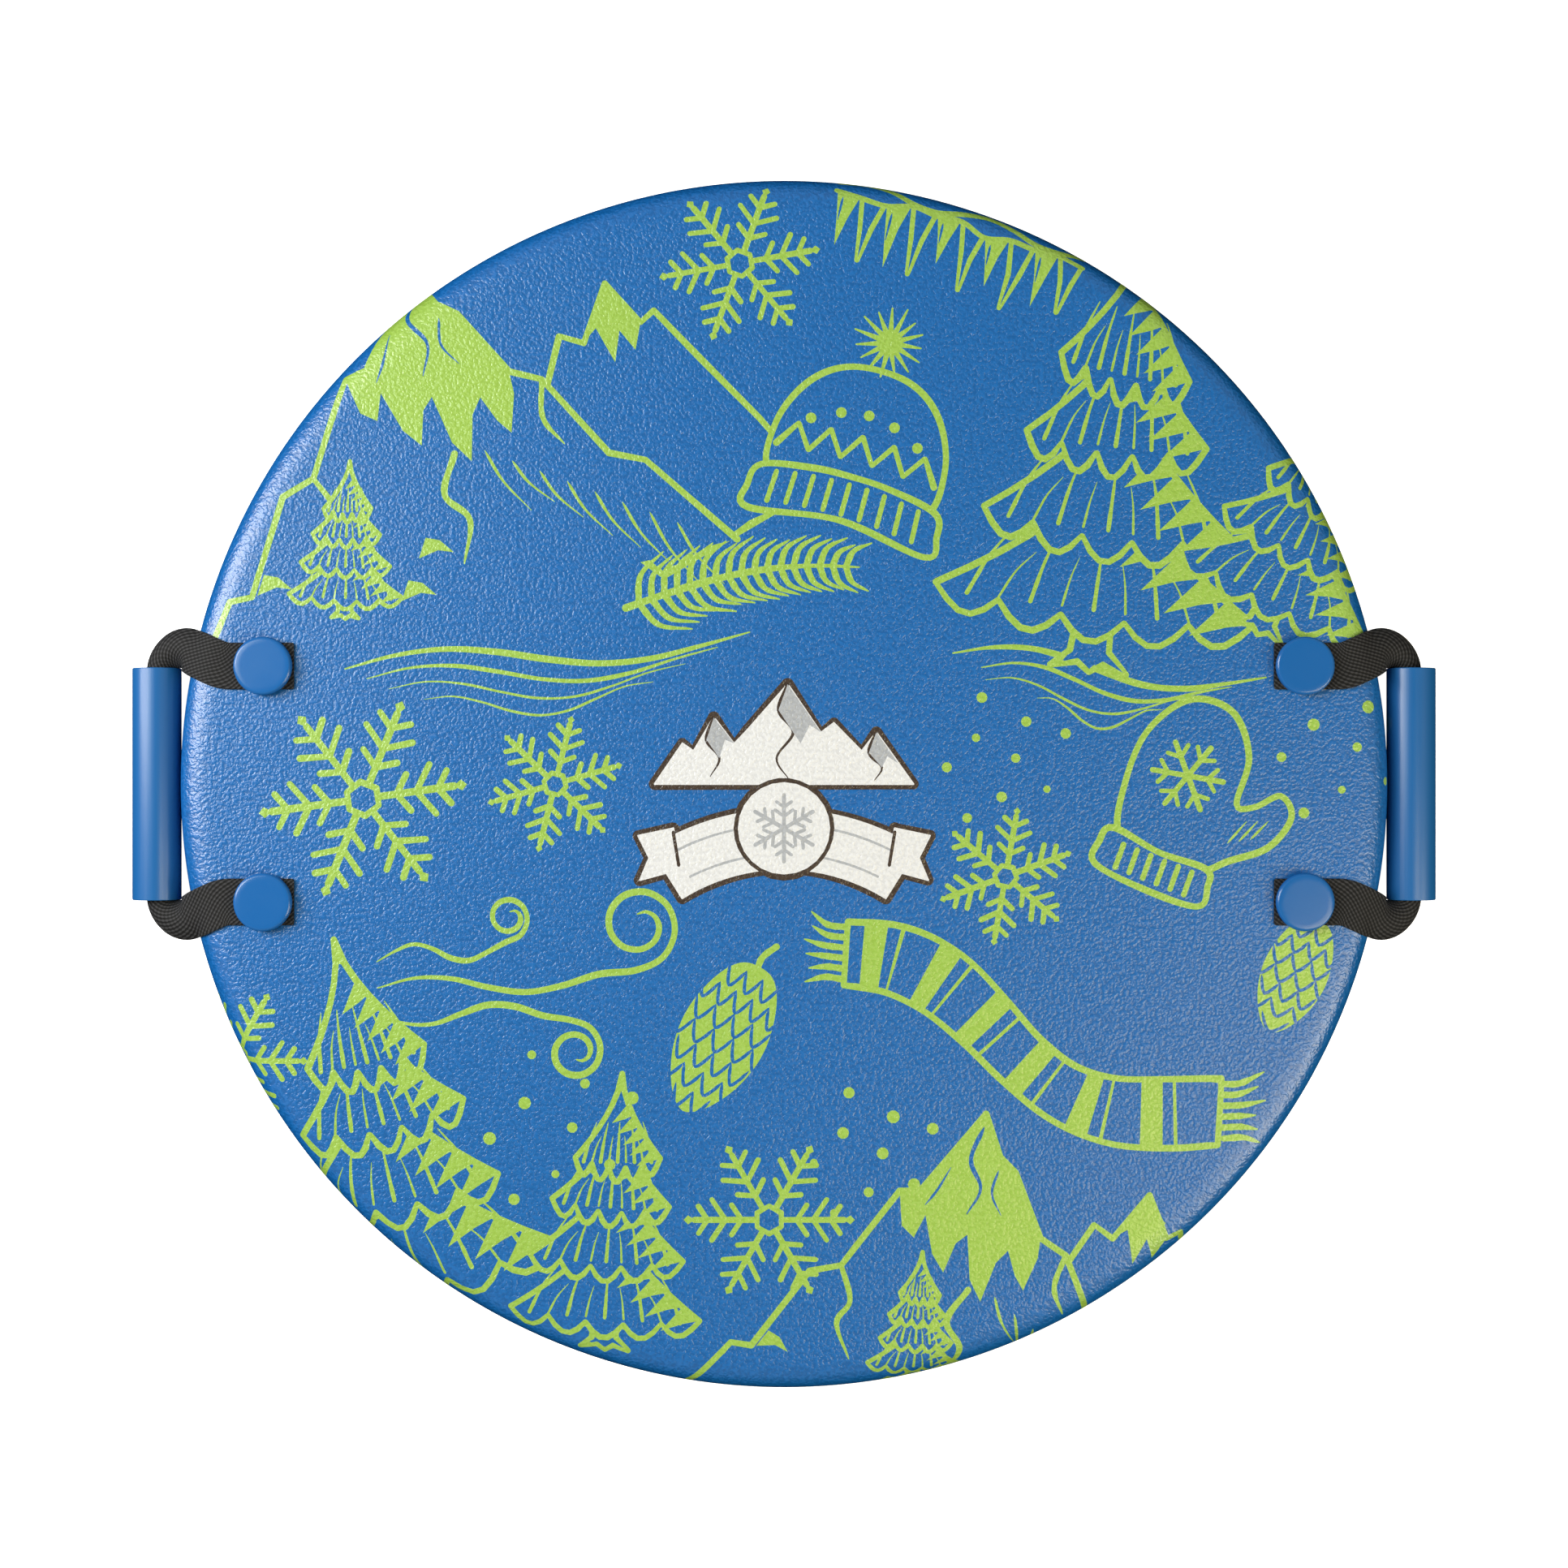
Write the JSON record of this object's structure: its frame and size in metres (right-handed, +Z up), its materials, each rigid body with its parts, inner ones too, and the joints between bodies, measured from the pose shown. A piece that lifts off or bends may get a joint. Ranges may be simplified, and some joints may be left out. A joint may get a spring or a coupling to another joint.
{
  "type": "foam snow sled",
  "caption": "Round foam snow sled: a printed foam disc with a slick underside, screwed button fasteners and swinging webbing handles with loose grip tubes at its sides.",
  "frame": {"origin": "centre of the disc on the ground, at the underside of the slick sheet", "axes": "+Z up through the deck, +Y the front of the sled, +X the rider's right, through the middles of both handles"},
  "size_m": [0.7148, 0.66, 0.0444],
  "materials": {
    "printed_skin": "semi-gloss printed polyethylene film with a fine leather grain",
    "foam": "closed-cell expanded polyethylene bead foam",
    "slick_sheet": "smooth glossy polyethylene sheet",
    "button": "satin moulded polypropylene",
    "plug": "satin moulded polypropylene",
    "webbing": "woven black polypropylene webbing",
    "tube": "satin extruded polyethylene"
  },
  "bodies": {
    "deck": {"deck_skin": "printed_skin", "foam_core": "foam", "slick_bottom": "slick_sheet", "button_front_right": "button", "button_rear_right": "button", "button_front_left": "button", "button_rear_left": "button", "lock_plug_front_right": "plug", "lock_plug_rear_right": "plug", "lock_plug_front_left": "plug", "lock_plug_rear_left": "plug", "strap_tab_front_right": "webbing", "strap_tab_rear_right": "webbing", "strap_tab_front_left": "webbing", "strap_tab_rear_left": "webbing"},
    "handle_right": {"strap_loop_right": "webbing"},
    "handle_left": {"strap_loop_left": "webbing"},
    "grip_right": {"grip_tube_right": "tube"},
    "grip_left": {"grip_tube_left": "tube"}
  },
  "joints": [
    {"name": "handle_right_swing", "type": "hinge", "parent": "deck", "child": "handle_right", "pos_m": [0.2995, 0, 0.0391], "axis": [0, -1, 0], "range_deg": [0, 105]},
    {"name": "handle_left_swing", "type": "hinge", "parent": "deck", "child": "handle_left", "pos_m": [-0.2995, 0, 0.0391], "axis": [0, 1, 0], "range_deg": [0, 105]},
    {"name": "grip_right_spin", "type": "hinge", "parent": "handle_right", "child": "grip_right", "pos_m": [0.3442, 0, 0.0183], "axis": [0, 1, 0], "continuous": true},
    {"name": "grip_left_spin", "type": "hinge", "parent": "handle_left", "child": "grip_left", "pos_m": [-0.3442, 0, 0.0183], "axis": [0, 1, 0], "continuous": true}
  ]
}
